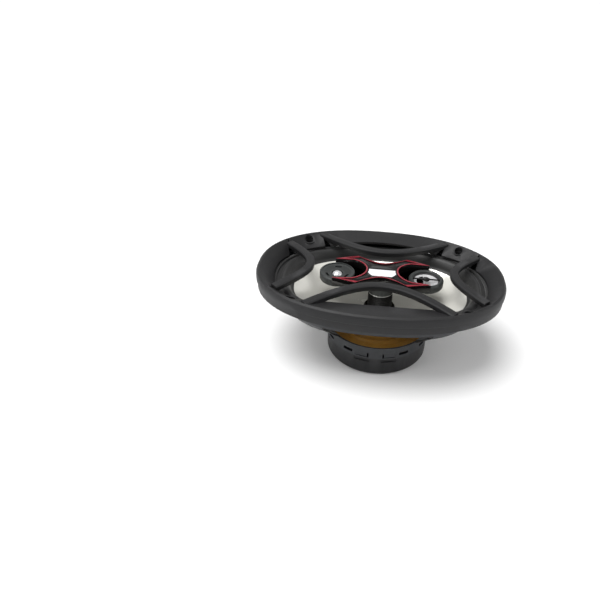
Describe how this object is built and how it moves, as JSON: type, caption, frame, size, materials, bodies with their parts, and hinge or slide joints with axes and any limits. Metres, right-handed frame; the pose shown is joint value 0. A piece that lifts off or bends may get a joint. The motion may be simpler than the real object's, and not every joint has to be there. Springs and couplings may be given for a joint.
{
  "type": "coaxial car speaker",
  "caption": "Oval coaxial car speaker with an open-rib front bezel, a sprung cone, a bridge with tweeter and midrange pods, and a ferrite magnet in a moulded boot.",
  "frame": {"origin": "centre of the screw pattern, on the face that seats on the panel", "axes": "+X along the long axis, +Y along the short axis towards the terminals, +Z the way the speaker plays"},
  "size_m": [0.2398, 0.1648, 0.093],
  "materials": {
    "bezel_plastic": "satin moulded, lightly grained",
    "basket_paint": "black powder coat",
    "gasket_foam": "matt",
    "surround_rubber": "soft matt",
    "cone_film": "metallised satin",
    "coil_former": "amber film",
    "copper": "enamelled wire",
    "spider_cloth": "resin-stiffened weave",
    "plated_steel": "zinc plated",
    "ferrite": "ground",
    "boot_plastic": "satin moulded",
    "post_plastic": "satin",
    "gloss_black": "piano gloss",
    "red_plastic": "polished edge",
    "chrome": "mirror",
    "silver_metal": "spun",
    "pod_plastic": "satin moulded",
    "board_plastic": "pressed board",
    "tinned_brass": "tin plated",
    "capacitor_sleeve": "shrink sleeve",
    "braid": "tinned braid"
  },
  "bodies": {
    "frame": {"front_bezel": "bezel_plastic", "basket": "basket_paint", "gasket_ring": "gasket_foam", "surround": "surround_rubber", "spider": "spider_cloth", "top_plate": "plated_steel", "ferrite_ring": "ferrite", "yoke": "plated_steel", "magnet_boot": "boot_plastic", "centre_post": "post_plastic", "post_sleeve": "post_plastic", "post_ring": "silver_metal", "post_bolt": "plated_steel", "bridge_carrier": "pod_plastic", "bridge_cover": "gloss_black", "red_trim": "red_plastic", "chrome_trim": "chrome", "tweeter_housing": "pod_plastic", "tweeter_faceplate": "pod_plastic", "tweeter_magnet": "plated_steel", "mid_housing": "pod_plastic", "mid_surround": "surround_rubber", "mid_grille": "chrome", "mid_magnet": "plated_steel", "terminal_board": "board_plastic", "terminal_rivets": "tinned_brass", "blade_positive": "tinned_brass", "blade_negative": "tinned_brass", "capacitor": "capacitor_sleeve", "tinsel_lead_left": "braid", "tinsel_lead_right": "braid"},
    "woofer": {"cone": "cone_film", "former": "coil_former", "winding": "copper"},
    "tweeter_diaphragm": {"tweeter_dome": "silver_metal", "tweeter_coil": "copper"},
    "mid_diaphragm": {"mid_cone": "silver_metal", "mid_coil": "copper"}
  },
  "joints": [
    {"name": "woofer_travel", "type": "slide", "parent": "frame", "child": "woofer", "axis": [0, 0, 1], "range_m": [-0.004, 0.004], "stiffness_N_per_m": 1500, "deforming": ["surround", "spider", "tinsel_lead_left", "tinsel_lead_right"]},
    {"name": "tweeter_travel", "type": "slide", "parent": "frame", "child": "tweeter_diaphragm", "axis": [0, 0, 1], "range_m": [-0.0002, 0.0002], "stiffness_N_per_m": 500},
    {"name": "mid_travel", "type": "slide", "parent": "frame", "child": "mid_diaphragm", "axis": [0, 0, 1], "range_m": [-0.0005, 0.0005], "stiffness_N_per_m": 500, "deforming": ["mid_surround"]}
  ]
}
